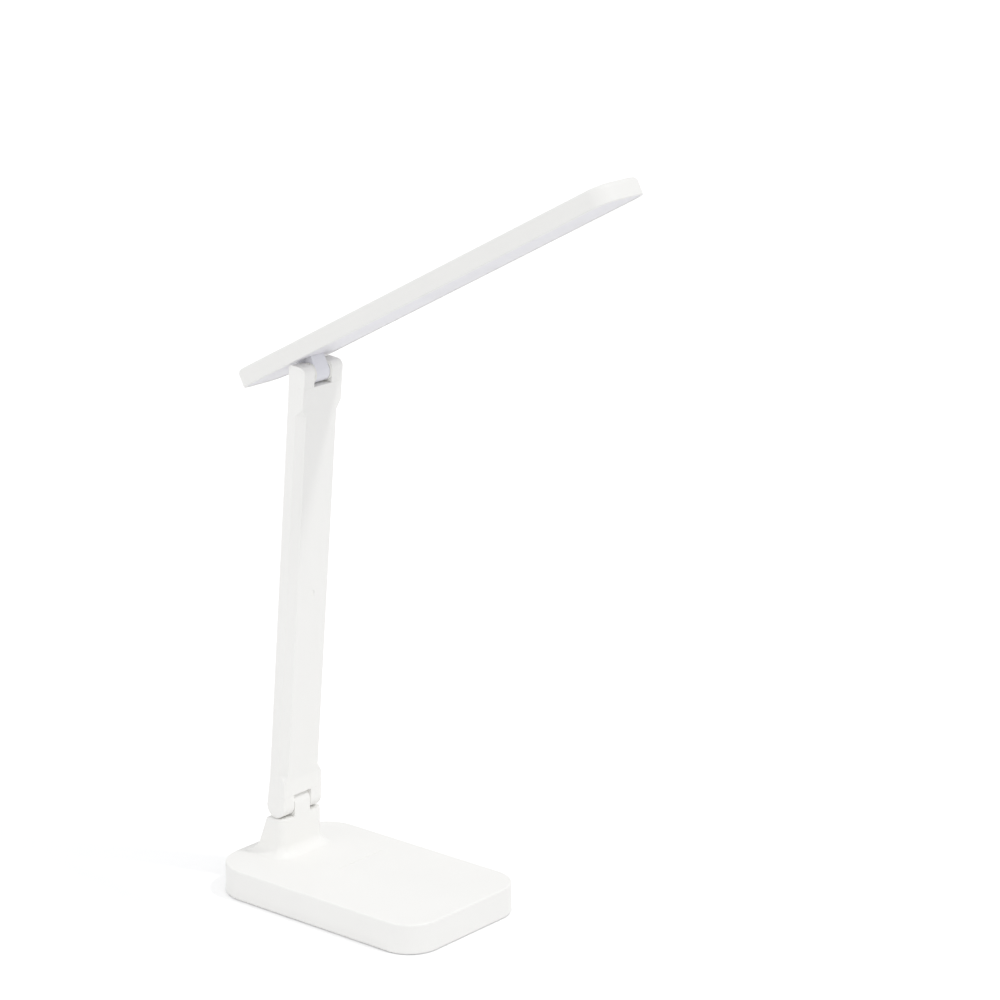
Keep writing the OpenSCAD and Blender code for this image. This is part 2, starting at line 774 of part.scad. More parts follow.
// Slot between two ears, their bolt's holes and the cable's way into the arm
module ear_cuts(cover_end) {
    translate([-arm_d, -slot_w / 2, -2 * ear_r])
        cube([2 * arm_d, slot_w, 2 * ear_r + cover_end]);
    bolt_holes();
    translate([arm_cable_x, cable_y, 0])
        cylinder(r = cable_hole_r, h = cover_end + 2 * arm_wall);
}

// Rear half of the arm with the four hinge ears
module arm_rear_shell() {
    color(white) at_arm() {
        difference() {
            arm_solid();
            translate([split_x, -arm_w / 2 - over, cover_low])
                cube([arm_d, arm_w + 2 * over, cover_l]);
            translate([-arm_inner_x, -arm_w / 2 + arm_wall, cover_low + arm_wall])
                cube([arm_d, arm_w - 2 * arm_wall, cover_l - 2 * arm_wall]);
            ear_cuts(cover_low);
            at_arm_top() ear_cuts(cover_high);
        }
        difference() {
            translate([-arm_inner_x - sink, 0, arm_pitch / 2])
                rod_x(arm_boss_r, split_x + arm_inner_x + sink);
            translate([-arm_inner_x, 0, arm_pitch / 2]) rod_x(small_screw_d / 2, arm_d);
        }
    }
}

// Wedge that ends a chamfer in a pointed tip, its point at z = tip
module chamfer_tip_cut(tip) {
    wide = tip + chamfer_taper;
    edge_x = arm_front_x;
    edge_y = arm_w / 2;
    polyhedron(
        points = [
            [edge_x - chamfer_d, edge_y, wide], [edge_x, edge_y - chamfer_w, wide],
            [edge_x + over, edge_y + over, wide], [edge_x, edge_y, tip]
        ],
        faces = [[0, 2, 1], [0, 1, 3], [1, 2, 3], [2, 0, 3]]
    );
}

// One front chamfer, cut away along the +Y edge of the arm
module chamfer_cut() {
    low = chamfer_tip_low + chamfer_taper;
    high = chamfer_tip_high + chamfer_taper;
    edge_y = arm_w / 2;
    translate([arm_front_x, 0, low]) linear_extrude(arm_pitch - low - high) polygon([
        [-chamfer_d, edge_y], [0, edge_y - chamfer_w], [over, edge_y - chamfer_w],
        [over, edge_y + over], [-chamfer_d, edge_y + over]
    ]);
    chamfer_tip_cut(chamfer_tip_low);
    at_arm_top() chamfer_tip_cut(chamfer_tip_high);
}

// Front half of the arm, with chamfers along both edges
module arm_front_cover() {
    low = cover_low + fit;
    inner_w = arm_w - 2 * (arm_wall + 1);
    narrow = inner_w - 2 * chamfer_w * (arm_inner_x - split_x) / chamfer_d;
    color(white) at_arm() difference() {
        intersection() {
            arm_solid();
            translate([split_x, -arm_w, low]) cube([arm_d, 2 * arm_w, cover_l - 2 * fit]);
        }
        chamfer_cut();
        mirror([0, 1, 0]) chamfer_cut();
        difference() {
            translate([0, 0, low + arm_wall]) linear_extrude(cover_l - 2 * (fit + arm_wall)) polygon([
                [split_x - over, -inner_w / 2], [split_x, -inner_w / 2], [arm_inner_x, -narrow / 2],
                [arm_inner_x, narrow / 2], [split_x, inner_w / 2], [split_x - over, inner_w / 2]
            ]);
            translate([split_x, 0, arm_pitch / 2]) rod_x(arm_boss_r, arm_d);
        }
        translate([split_x - over, 0, arm_pitch / 2]) rod_x(small_screw_d / 2 + 2 * fit, arm_d);
        translate([screw_seat_x, 0, arm_pitch / 2]) rod_x(small_head_d / 2, arm_d);
    }
}

// Screw that holds the arm's two halves together
module arm_screw() {
    color(steel) at_arm() translate([0, 0, arm_pitch / 2]) {
        translate([screw_seat_x, 0, 0]) rod_x(small_head_d / 2, screw_head_t);
        translate([-arm_inner_x, 0, 0]) rod_x(small_screw_d / 2, screw_seat_x + arm_inner_x);
    }
}

// Plug over the arm's screw, a little below the front face
module arm_screw_plug() {
    color(white) at_arm() translate([arm_front_x - plug_t - plug_recess, 0, arm_pitch / 2])
        rod_x(small_head_d / 2, plug_t);
}

// Lamp cable inside the arm
module arm_cable() {
    color(white) at_arm() translate([arm_cable_x, cable_y, cover_low + wire_clear])
        cylinder(r = cable_r, h = cover_l - 2 * wire_clear);
}

// A hinge bolt with a pan head and a hexagon socket, at its hinge axis
module hinge_bolt() {
    end_y = pocket_nut_y + hinge_nut_t;
    difference() {
        union() {
            translate([0, (end_y - pocket_head_y) / 2, 0]) rod_y(bolt_r, end_y + pocket_head_y);
            translate([0, -pocket_head_y - bolt_head_t / 2, 0]) rod_y(bolt_head_r, bolt_head_t);
        }
        translate([0, -pocket_head_y - bolt_head_t, 0]) rotate([90, 0, 0])
            cylinder(r = bolt_hex_r, h = 2 * bolt_hex_depth, center = true, $fn = 6);
    }
}

module hinge_nut() {
    translate([0, pocket_nut_y + hinge_nut_t / 2, 0]) difference() {
        rotate([90, 0, 0]) cylinder(r = bolt_head_r, h = hinge_nut_t, center = true, $fn = 6);
        rod_y(bolt_r, hinge_nut_t + over);
    }
}

module lower_hinge_bolt() {
    color(steel) at_arm() hinge_bolt();
}

module lower_hinge_nut() {
    color(steel) at_arm() hinge_nut();
}

module upper_hinge_bolt() {
    color(steel) at_arm() translate([0, 0, arm_pitch]) hinge_bolt();
}

module upper_hinge_nut() {
    color(steel) at_arm() translate([0, 0, arm_pitch]) hinge_nut();
}

// Two washers against the ears, one on each side of a knuckle
module washer_pair(r, t) {
    for (y = [-1, 1]) translate([0, y * (slot_w - t) / 2, 0]) difference() {
        rod_y(r, t);
        rod_y(bolt_r, t + over);
    }
}

// White washers between the knuckles and the ears, two at each hinge
module friction_washers() {
    color(white) at_arm() {
        washer_pair(washer_r, washer_t);
        translate([0, 0, arm_pitch]) washer_pair(upper_washer_r, upper_washer_t);
    }
}

// Four caps flush with the arm's sides
module hinge_caps() {
    color(white) at_arm() for (z = [0, arm_pitch], y = [-1, 1])
        translate([0, y * (arm_w - cap_t) / 2, z]) rod_y(bolt_head_r, cap_t);
}

// White upper shell of the light head
module head_top_shell() {
    rim = head_wall + fit;
    seat = head_wall + ledge_w;
    color(white) at_head() {
        difference() {
            translate([head_mid, 0, head_offset]) rounded_slab(head_l, head_w, head_t, head_r, head_edge);
            translate([head_mid, 0, head_offset - over]) linear_extrude(ledge_z - head_offset + over)
                rounded_rect(head_l - 2 * head_wall, head_w - 2 * head_wall, head_r - head_wall);
            translate([head_mid, 0, ledge_z - over]) linear_extrude(head_ceiling - ledge_z + over)
                rounded_rect(head_l - 2 * seat, head_w - 2 * seat, head_r - seat);
        }
        for (x = [-1, 1]) translate([x * bracket_screw_x, 0, bracket_top]) difference() {
            cylinder(d = small_screw_d + 2 * boss_wall, h = head_ceiling - bracket_top + sink);
            translate([0, 0, -over])
                cylinder(d = small_screw_d, h = head_ceiling - bracket_top + over);
        }
    }
}

// Milky panel that closes the head from below
module diffuser_panel() {
    inset = head_wall + fit;
    color(milky) at_head() difference() {
        translate([head_mid, 0, diffuser_z]) linear_extrude(diffuser_t)
            rounded_rect(head_l - 2 * inset, head_w - 2 * inset, head_r - inset);
        translate([0, 0, diffuser_z + diffuser_t / 2])
            cube([2 * upper_knuckle_r + 4 * fit, upper_knuckle_w + 4 * fit, 2 * diffuser_t], center = true);
    }
}

// Knuckle of the upper hinge with the plate that is screwed into the head
module hinge_bracket() {
    color(white) at_head() difference() {
        union() {
            rod_y(upper_knuckle_r, upper_knuckle_w);
            translate([-upper_knuckle_r, -upper_knuckle_w / 2, 0])
                cube([2 * upper_knuckle_r, upper_knuckle_w, bracket_z + sink]);
            translate([-bracket_l / 2, -bracket_w / 2, bracket_z]) cube([bracket_l, bracket_w, bracket_t]);
        }
        rod_y(bolt_r + run_clear, upper_knuckle_w + 2 * over);
        translate([-cable_back, head_cable_y, -upper_knuckle_r])
            cylinder(r = cable_hole_r, h = bracket_top + 2 * upper_knuckle_r);
        for (x = [-1, 1]) translate([x * bracket_screw_x, 0, bracket_z - over]) {
            cylinder(d = small_screw_d + 4 * fit, h = bracket_t + 2 * over);
            cylinder(d = small_head_d, h = screw_head_t + over);
        }
    }
}

// Two screws that hold the bracket in the head
module bracket_screws() {
    color(steel) at_head() for (x = [-1, 1]) translate([x * bracket_screw_x, 0, bracket_z]) {
        cylinder(d = small_head_d, h = screw_head_t);
        cylinder(d = small_screw_d, h = head_ceiling - bracket_z);
    }
}

// Long board that carries the lamps, on the shell's ceiling
module led_board() {
    color(white) at_head() translate([led_board_start, -led_board_w / 2, led_board_z])
        cube([led_board_l, led_board_w, led_board_t]);
}

// Every second lamp, beginning with the given one, grown by a gap on each side
module led_row(first, grow) {
    at_head() for (i = [first : 2 : led_count - 1])
        translate([led_board_start + (i + 0.5) * led_step, 0, led_z + led_t / 2])
            cube([led_l + 2 * grow, led_w + 2 * grow, led_t], center = true);
}

// Lamps that give cool white light
module led_chips_cool() {
    color([0.98, 0.95, 0.70]) led_row(0, 0);
}

// Lamps that give warm white light
module led_chips_warm() {
    color([0.98, 0.78, 0.40]) led_row(1, 0);
}

// White sheet with windows for the lamps and a notch for the cable, under the light board
module reflector_sheet() {
    half_w = head_w / 2 - head_wall - ledge_w - reflector_gap;
    color(white) difference() {
        at_head() translate([led_board_start, -half_w, led_board_z - reflector_t])
            cube([led_board_l, 2 * half_w, reflector_t]);
        led_row(0, 2 * fit);
        led_row(1, 2 * fit);
        at_head() translate([led_board_start, head_cable_y, led_board_z])
            cube([4 * cable_d, 2 * cable_hole_r, 2 * cable_d], center = true);
    }
}

// Lamp cable from the upper knuckle to the light board
module head_cable() {
    z = led_board_z - cable_r;
    y = head_cable_y;
    color(white) at_head() wire([[-cable_back, y, -cable_top], [-cable_back, y, z],
                                 [led_board_start + cable_d, y, z]], cable_r);
}

base_top_shell();
base_bottom_cover();
anti_slip_pad();
cover_screws();
ballast_plate();
battery_cell();
battery_tape();
battery_leads();
control_board();
board_parts();
wire_connectors();
board_screws();
usb_socket_shell();
usb_contact_tongue();
indicator_light_pipe();
touch_electrode();
touch_lead();
base_cable();
arm_rear_shell();
arm_front_cover();
arm_screw();
arm_screw_plug();
arm_cable();
lower_hinge_bolt();
lower_hinge_nut();
upper_hinge_bolt();
upper_hinge_nut();
friction_washers();
hinge_caps();
head_top_shell();
diffuser_panel();
hinge_bracket();
bracket_screws();
led_board();
led_chips_cool();
led_chips_warm();
reflector_sheet();
head_cable();
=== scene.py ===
"""Looks, camera and light for a folding LED desk lamp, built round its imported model."""

import json
import math

import bmesh
import bpy
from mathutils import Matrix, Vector


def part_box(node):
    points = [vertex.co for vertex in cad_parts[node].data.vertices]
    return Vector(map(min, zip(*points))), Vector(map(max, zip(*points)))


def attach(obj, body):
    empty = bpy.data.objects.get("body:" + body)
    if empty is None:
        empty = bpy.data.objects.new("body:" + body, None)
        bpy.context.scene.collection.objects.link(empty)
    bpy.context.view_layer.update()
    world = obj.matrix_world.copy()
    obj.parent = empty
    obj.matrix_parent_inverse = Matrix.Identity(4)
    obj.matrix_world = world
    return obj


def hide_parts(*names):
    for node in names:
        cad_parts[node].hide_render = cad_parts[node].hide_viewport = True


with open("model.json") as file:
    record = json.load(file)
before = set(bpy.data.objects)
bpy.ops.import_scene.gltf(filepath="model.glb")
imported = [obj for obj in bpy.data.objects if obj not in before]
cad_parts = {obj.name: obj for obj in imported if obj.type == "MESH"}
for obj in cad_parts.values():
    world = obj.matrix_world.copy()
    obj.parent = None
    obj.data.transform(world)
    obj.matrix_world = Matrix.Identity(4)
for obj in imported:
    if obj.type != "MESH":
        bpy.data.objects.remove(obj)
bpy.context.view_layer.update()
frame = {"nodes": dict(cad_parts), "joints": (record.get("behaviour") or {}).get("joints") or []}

MM = 0.001
NODES = frame["nodes"]
JOINTS = {joint["name"]: joint for joint in frame["joints"]}
LOWER = Vector(JOINTS["arm_fold"]["pos_m"])
UPPER = Vector(JOINTS["head_tilt"]["pos_m"])

# Directions of the arm and the head at rest
ARM_UP = (UPPER - LOWER).normalized()
ARM_FRONT = Vector((ARM_UP.z, 0, -ARM_UP.x))
ARM_LENGTH = (UPPER - LOWER).length
HEAD_TILT = math.radians(28.2)
HEAD_ALONG = Vector((math.cos(HEAD_TILT), 0, math.sin(HEAD_TILT)))
HEAD_UP = Vector((-math.sin(HEAD_TILT), 0, math.cos(HEAD_TILT)))


def in_arm(point):
    """Place in the arm's frame: towards its front, across it, and up from the lower hinge axis."""
    rel = Vector(point) - LOWER
    return Vector((rel.dot(ARM_FRONT), rel.y, rel.dot(ARM_UP)))


def in_head(point):
    """Place in the head's frame: along it, across it, and towards its top from the upper hinge axis."""
    rel = Vector(point) - UPPER
    return Vector((rel.dot(HEAD_ALONG), rel.y, rel.dot(HEAD_UP)))


# Materials
class Graph:
    """A node material being put together."""

    def __init__(self, name, roughness):
        self.material = bpy.data.materials.new(name)
        self.material.use_nodes = True
        self.tree = self.material.node_tree
        self.shader = self.tree.nodes["Principled BSDF"]
        self.shader.inputs["Roughness"].default_value = roughness
        self.coordinates = self.tree.nodes.new("ShaderNodeTexCoord").outputs["Object"]

    def node(self, kind, **settings):
        new = self.tree.nodes.new(kind)
        for key, value in settings.items():
            setattr(new, key, value)
        return new

    def link(self, output, target):
        self.tree.links.new(output, target)

    def noise(self, scale, detail=2.0, roughness=0.5, coordinates=None):
        new = self.node("ShaderNodeTexNoise")
        new.inputs["Scale"].default_value = scale
        new.inputs["Detail"].default_value = detail
        new.inputs["Roughness"].default_value = roughness
        self.link(coordinates or self.coordinates, new.inputs["Vector"])
        return new.outputs["Fac"]

    def stretched(self, scale):
        new = self.node("ShaderNodeMapping")
        new.inputs["Scale"].default_value = scale
        self.link(self.coordinates, new.inputs["Vector"])
        return new.outputs["Vector"]

    def ramp(self, fac, stops):
        new = self.node("ShaderNodeValToRGB")
        elements = new.color_ramp.elements
        while len(elements) < len(stops):
            elements.new(0.5)
        for element, (place, colour) in zip(elements, stops):
            element.position = place
            element.color = (*colour, 1)
        self.link(fac, new.inputs["Fac"])
        return new.outputs["Color"]

    def span(self, value, low, high, from_low=0.3, from_high=0.7):
        new = self.node("ShaderNodeMapRange")
        new.inputs["From Min"].default_value = from_low
        new.inputs["From Max"].default_value = from_high
        new.inputs["To Min"].default_value = low
        new.inputs["To Max"].default_value = high
        self.link(value, new.inputs["Value"])
        return new.outputs["Result"]

    def mix(self, fac, first, second):
        new = self.node("ShaderNodeMix", data_type="RGBA")
        for value, socket in ((fac, new.inputs[0]), (first, new.inputs[6]), (second, new.inputs[7])):
            if isinstance(value, bpy.types.NodeSocket):
                self.link(value, socket)
            else:
                socket.default_value = value
        return new.outputs[2]

    def bump(self, layers):
        """Bumps on top of each other, each (height, distance in metres, strength)."""
        normal = None
        for height, distance, strength in layers:
            new = self.node("ShaderNodeBump")
            new.inputs["Distance"].default_value = distance
            new.inputs["Strength"].default_value = strength
            self.link(height, new.inputs["Height"])
            if normal is not None:
                self.link(normal, new.inputs["Normal"])
            normal = new.outputs["Normal"]
        self.link(normal, self.shader.inputs["Normal"])

    def colour(self, output):
        self.link(output, self.shader.inputs["Base Color"])

    def rough(self, output):
        self.link(output, self.shader.inputs["Roughness"])


def tone(colour, factor):
    return tuple(min(1.0, channel * factor) for channel in colour)


def moulded(name, colour, roughness, grain=0.25, mottle=0.012, dust=0.03):
    """Moulded plastic: a fine spark-eroded grain, broad flow marks, faint handling smudges and convex edges
    made slightly lighter.
    """
    g = Graph(name, roughness)
    flow = g.noise(14, 3, 0.55, g.stretched((1, 1, 0.45)))
    base = g.ramp(flow, [(0.3, tone(colour, 1 - mottle)), (0.7, tone(colour, 1 + mottle))])
    dusty = g.span(g.noise(420, 4, 0.65), 0, dust, 0.52, 0.78)
    base = g.mix(dusty, base, (*tone(colour, 0.93), 1))
    # Convex edges, found by pointiness, made slightly lighter
    pointy = g.node("ShaderNodeNewGeometry").outputs["Pointiness"]
    base = g.mix(g.span(pointy, 0, 0.35, 0.51, 0.56), base, (*tone(colour, 1.025), 1))
    g.colour(base)
    smudge = g.noise(38, 3, 0.6)
    g.rough(g.span(smudge, roughness - 0.05, roughness + 0.07))
    g.bump([
        (g.noise(2600, 2, 0.6), 0.00006, grain),
        (g.noise(95, 2, 0.5), 0.00012, 0.05),
    ])
    g.shader.inputs["IOR"].default_value = 1.47
    return g.material


def milky(name, colour):
    """Opal diffuser: a soft even tint, a very fine matt texture and a faint glow of depth."""
    g = Graph(name, 0.42)
    cloud = g.noise(30, 2, 0.5)
    g.colour(g.ramp(cloud, [(0.3, tone(colour, 0.988)), (0.7, tone(colour, 1.01))]))
    g.rough(g.span(g.noise(60, 3, 0.6), 0.38, 0.5))
    g.bump([(g.noise(3800, 1, 0.5), 0.00005, 0.3)])
    g.shader.inputs["IOR"].default_value = 1.49
    g.shader.inputs["Subsurface Weight"].default_value = 0.25
    g.shader.inputs["Subsurface Radius"].default_value = (0.002, 0.002, 0.0022)
    g.shader.inputs["Subsurface Scale"].default_value = 0.5
    return g.material


def rubber(name, colour, roughness=0.75):
    """Soft elastomer: cells, bloom and a dusting of lint."""
    g = Graph(name, roughness)
    bloom = g.noise(70, 4, 0.6)
    base = g.ramp(bloom, [(0.35, tone(colour, 0.92)), (0.7, tone(colour, 1.06))])
    lint = g.span(g.noise(900, 3, 0.7), 0, 0.4, 0.64, 0.74)
    g.colour(g.mix(lint, base, (*tone(colour, 1.3), 1)))
    g.rough(g.span(bloom, roughness - 0.08, roughness + 0.08))
    g.bump([(g.noise(1800, 2, 0.6), 0.0001, 0.4)])
    return g.material


def metal(name, colour, roughness, direction=(1, 1, 12), spots=0.15):
    """Plated or rolled metal: drawn lines, a cloudy passivation and slight stains."""
    g = Graph(name, roughness)
    g.shader.inputs["Metallic"].default_value = 1.0
    lines = g.noise(260, 3, 0.6, g.stretched(direction))
    cloud = g.noise(120, 4, 0.6)
    base = g.ramp(cloud, [(0.3, tone(colour, 0.9)), (0.65, tone(colour, 1.05))])
    stain = g.span(g.noise(340, 3, 0.7), 0, spots, 0.6, 0.75)
    g.colour(g.mix(stain, base, (*tone(colour, 0.6), 1)))
    g.rough(g.span(lines, roughness - 0.08, roughness + 0.12))
    g.bump([(lines, 0.00006, 0.35)])
    return g.material


def circuit(name, mask, track):
    """Solder mask over copper tracks, with small round pads."""
    g = Graph(name, 0.32)
    bricks = g.node("ShaderNodeTexBrick", offset=0.37, squash=0.7, squash_frequency=3)
    bricks.inputs["Scale"].default_value = 190
    bricks.inputs["Mortar Size"].default_value = 0.12
    bricks.inputs["Color1"].default_value = (*mask, 1)
    bricks.inputs["Color2"].default_value = (*tone(mask, 0.86), 1)
    bricks.inputs["Mortar"].default_value = (*track, 1)
    g.link(g.coordinates, bricks.inputs["Vector"])
    cells = g.node("ShaderNodeTexVoronoi")
    cells.inputs["Scale"].default_value = 240
    g.link(g.coordinates, cells.inputs["Vector"])
    pads = g.span(cells.outputs["Distance"], 1, 0, 0.1, 0.14)
    g.colour(g.mix(pads, bricks.outputs["Color"], (0.62, 0.60, 0.55, 1)))
    g.bump([(bricks.outputs["Fac"], 0.00008, 0.4), (g.noise(700, 2, 0.5), 0.00004, 0.2)])
    return g.material


def foil(name, colour):
    """Laminated pouch of a battery: shallow wrinkles under a satin film."""
    g = Graph(name, 0.34)
    g.shader.inputs["Metallic"].default_value = 0.75
    cloud = g.noise(45, 4, 0.6)
    g.colour(g.ramp(cloud, [(0.3, tone(colour, 0.92)), (0.7, tone(colour, 1.06))]))
    g.rough(g.span(g.noise(150, 3, 0.6), 0.26, 0.44))
    g.bump([(g.noise(60, 3, 0.6, g.stretched((1, 2.5, 1))), 0.0006, 0.35)])
    return g.material


def phosphor(name, colour):
    """Lamp chip: a yellow gel with a pale rim."""
    g = Graph(name, 0.28)
    grains = g.noise(2400, 3, 0.7)
    g.colour(g.ramp(grains, [(0.35, tone(colour, 0.85)), (0.65, tone(colour, 1.08))]))
    g.bump([(grains, 0.00005, 0.5)])
    return g.material


WHITE = (0.905, 0.899, 0.876)
SHELL = moulded("shell_white", WHITE, 0.46)
ARM_SHELL = moulded("arm_white", WHITE, 0.44)
# Painted shade: the head's shell is the same white painted 5% darker, for the weaker light on the head's
# faces.
HEAD_SHELL_PAINTED_SHADE = moulded("head_white_painted_shade", tone(WHITE, 0.95), 0.42)
# Painted shade: the knuckle's tone is lowered and tinted bluish for the shade and bounce light under the
# head.
KNUCKLE_PAINTED_SHADE = moulded("knuckle_painted_shade", (0.79, 0.79, 0.835), 0.36)
CAP = moulded("cap_white", WHITE, 0.42, grain=0.18)
INNER_WHITE = moulded("natural_nylon", (0.84, 0.835, 0.80), 0.5, mottle=0.03)
BLACK = moulded("moulded_epoxy", (0.022, 0.022, 0.025), 0.5, mottle=0.15, dust=0.15)
JACKET = moulded("wire_jacket", (0.72, 0.71, 0.68), 0.55, mottle=0.04)
# Painted shade: the diffuser's lavender tint and lowered tone are the shade and floor bounce light under the
# head.
DIFFUSER_PAINTED_SHADE = milky("opal_diffuser_painted_shade", (0.80, 0.79, 0.82))
LIGHT_PIPE = milky("frosted_rod", (0.78, 0.80, 0.82))
PAD = rubber("pad_rubber", (0.46, 0.46, 0.47))
FOAM = rubber("foam_tape", (0.03, 0.03, 0.033), 0.9)
STEEL = metal("plated_steel", (0.62, 0.63, 0.65), 0.3)
COPPER = metal("copper_foil", (0.72, 0.38, 0.22), 0.3)
GREEN_BOARD = circuit("green_board", (0.012, 0.105, 0.045), (0.03, 0.19, 0.08))
WHITE_BOARD = circuit("white_board", (0.78, 0.78, 0.76), (0.68, 0.68, 0.65))
POUCH = foil("cell_foil", (0.70, 0.71, 0.74))
COOL = phosphor("cool_phosphor", (0.82, 0.74, 0.22))
WARM = phosphor("warm_phosphor", (0.85, 0.48, 0.08))

FINISH = {
    "base_top_shell": SHELL, "base_bottom_cover": SHELL, "anti_slip_pad": PAD, "cover_screws": STEEL,
    "ballast_plate": STEEL, "battery_cell": POUCH, "battery_tape": FOAM, "battery_leads": JACKET,
    "control_board": GREEN_BOARD, "board_parts": BLACK, "wire_connectors": INNER_WHITE,
    "board_screws": STEEL, "usb_socket_shell": STEEL, "usb_contact_tongue": BLACK,
    "indicator_light_pipe": LIGHT_PIPE, "touch_electrode": COPPER, "touch_lead": JACKET,
    "base_cable": JACKET, "arm_rear_shell": ARM_SHELL, "arm_front_cover": ARM_SHELL,
    "arm_screw": STEEL, "arm_screw_plug": CAP, "arm_cable": JACKET, "lower_hinge_bolt": STEEL,
    "lower_hinge_nut": STEEL, "upper_hinge_bolt": STEEL, "upper_hinge_nut": STEEL,
    "friction_washers": INNER_WHITE, "hinge_caps": CAP, "head_top_shell": HEAD_SHELL_PAINTED_SHADE,
    "diffuser_panel": DIFFUSER_PAINTED_SHADE, "hinge_bracket": KNUCKLE_PAINTED_SHADE, "bracket_screws": STEEL,
    "led_board": WHITE_BOARD, "led_chips_cool": COOL, "led_chips_warm": WARM,
    "reflector_sheet": INNER_WHITE, "head_cable": JACKET,
}


def dress(obj, material):
    obj.data.materials.clear()
    obj.data.materials.append(material)


for node_name, finish in FINISH.items():
    dress(NODES[node_name], finish)


# Rounded skins of the moulded pieces: the angles that make an edge worth rounding, flat, or still smooth,
# and the distance within which points are one
SHARP = math.radians(24)
FLAT = math.radians(0.4)
SMOOTH = math.radians(32)
WELD = 0.002 * MM


def edge_angle(edge):
    return edge.calc_face_angle(0.0) if edge.is_manifold else 0.0


def middle(edge):
    return (edge.verts[0].co + edge.verts[1].co) / 2


def along(edge):
    return (edge.verts[1].co - edge.verts[0].co).normalized()


def round_edges(mesh, radius, segments, wanted):
    """Rounds the sharp edges that a test picks, with a number of faces across each."""
    edges = [e for e in mesh.edges if edge_angle(e) > SHARP and wanted(e)]
    if edges:
        bmesh.ops.bevel(mesh, geom=edges, offset=radius, offset_type="OFFSET", affect="EDGES",
                        segments=segments, profile=0.5, clamp_overlap=True)


def skin(node, name, body, material, rounds, adjust=None):
    """A copy of a CAD node's mesh with its moulded edges rounded. It stands for the node."""
    mesh = bmesh.new()
    mesh.from_mesh(NODES[node].data)
    bmesh.ops.remove_doubles(mesh, verts=mesh.verts, dist=WELD)
    bmesh.ops.dissolve_limit(mesh, angle_limit=FLAT, verts=mesh.verts, edges=mesh.edges)
    if adjust:
        adjust(mesh)
    for radius, segments, wanted in rounds:
        round_edges(mesh, radius, segments, wanted)
    data = bpy.data.meshes.new(name)
    for face in mesh.faces:
        face.smooth = True
    for edge in mesh.edges:
        edge.smooth = edge_angle(edge) < SMOOTH
    mesh.to_mesh(data)
    mesh.free()
    obj = bpy.data.objects.new(name, data)
    bpy.context.scene.collection.objects.link(obj)
    dress(obj, material)
    weighted = obj.modifiers.new("normals", "WEIGHTED_NORMAL")
    weighted.keep_sharp = True
    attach(obj, body)
    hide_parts(node)
    return obj


# Sizes that the skins read from the frame
ARM_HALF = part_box("arm_front_cover")[1][1]
SLOT_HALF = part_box("friction_washers")[1][1]
CAP_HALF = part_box("hinge_caps")[1][2] - UPPER.z
BASE_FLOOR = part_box("base_top_shell")[0][2]

# Places of the pieces' edges
BASE_TOP = 15 * MM
ABOVE_BASE = BASE_TOP + 0.5 * MM
PEDESTAL_REAR = LOWER.x - 4 * MM
SHOULDER = LOWER.z - 5.8 * MM
SHOULDER_RIM = SHOULDER - 1 * MM
TONGUE_FOOT = SHOULDER + 0.3 * MM
TONGUE_HALF = SLOT_HALF - 0.5 * MM
KNUCKLE_HALF = SLOT_HALF - 1.3 * MM
BORE = 3 * MM
CAP_EDGE = CAP_HALF + 0.1 * MM
ARM_REAR = -4 * MM
CHAMFER_HALF = ARM_HALF - 2.8 * MM
HEAD_RIM = 6.6 * MM

# How near counts as the same place, and how parallel or crosswise an edge must run
NEAR = 0.03 * MM
PARALLEL = 0.9
CROSSWISE = 0.7
OUTWARD = 0.01

# How far each end of the front cover moves towards the ears
SEAM_SHIFT = 0.06 * MM

# Radii of the moulded edges
PEDESTAL_ROUND = 1.2 * MM
SHOULDER_ROUND = 0.3 * MM
TONGUE_ROUND = 0.35 * MM
BASE_RIM_ROUND = 0.3 * MM
ARM_REAR_ROUND = 0.6 * MM
ARM_SIDE_ROUND = 0.35 * MM
SLOT_ROUND = 0.3 * MM
COVER_ROUND = 0.3 * MM
HEAD_ROUND = 0.35 * MM
KNUCKLE_ROUND = 0.3 * MM


def close(value, target):
    return abs(value - target) < NEAR


def convex(edge):
    return edge.calc_face_angle_signed(0.0) > 0


def near_axis(p):
    """True on the caps' pockets and the bolts' holes in the arm's sides."""
    low = math.hypot(p.x, p.z)
    high = math.hypot(p.x, p.z - ARM_LENGTH)
    return min(low, high) < CAP_EDGE


def on_arm_side(edge):
    p = in_arm(middle(edge))
    return convex(edge) and close(abs(p.y), ARM_HALF) and not near_axis(p)


def on_arm_rear_edge(edge):
    p = in_arm(middle(edge))
    return on_arm_side(edge) and p.x < ARM_REAR and abs(along(edge).dot(ARM_UP)) > PARALLEL


def on_slot_edge(edge):
    p = in_arm(middle(edge))
    return convex(edge) and close(abs(p.y), SLOT_HALF) and not near_axis(p)


def on_cover_outside(edge):
    p = in_arm(middle(edge))
    return convex(edge) and abs(p.y) > CHAMFER_HALF and p.x > 0


def on_pedestal_rear_corner(edge):
    m = middle(edge)
    return (convex(edge) and m.x < PEDESTAL_REAR and m.z > ABOVE_BASE
            and abs(m.y) > ARM_HALF and abs(along(edge).y) < CROSSWISE)


def on_shoulder(edge):
    m = middle(edge)
    return convex(edge) and m.z > SHOULDER_RIM and abs(m.y) > TONGUE_HALF + NEAR


def on_tongue(edge):
    m = middle(edge)
    bore = math.hypot(m.x - LOWER.x, m.z - LOWER.z) < BORE
    return convex(edge) and m.z > TONGUE_FOOT and close(abs(m.y), TONGUE_HALF) and not bore


def on_base_rim(edge):
    m = middle(edge)
    outward = any(f.normal.x * m.x + f.normal.y * m.y > OUTWARD * m.length for f in edge.link_faces)
    return close(m.z, BASE_FLOOR) and convex(edge) and outward


def on_head_rim(edge):
    p = in_head(middle(edge))
    return convex(edge) and p.z < HEAD_RIM


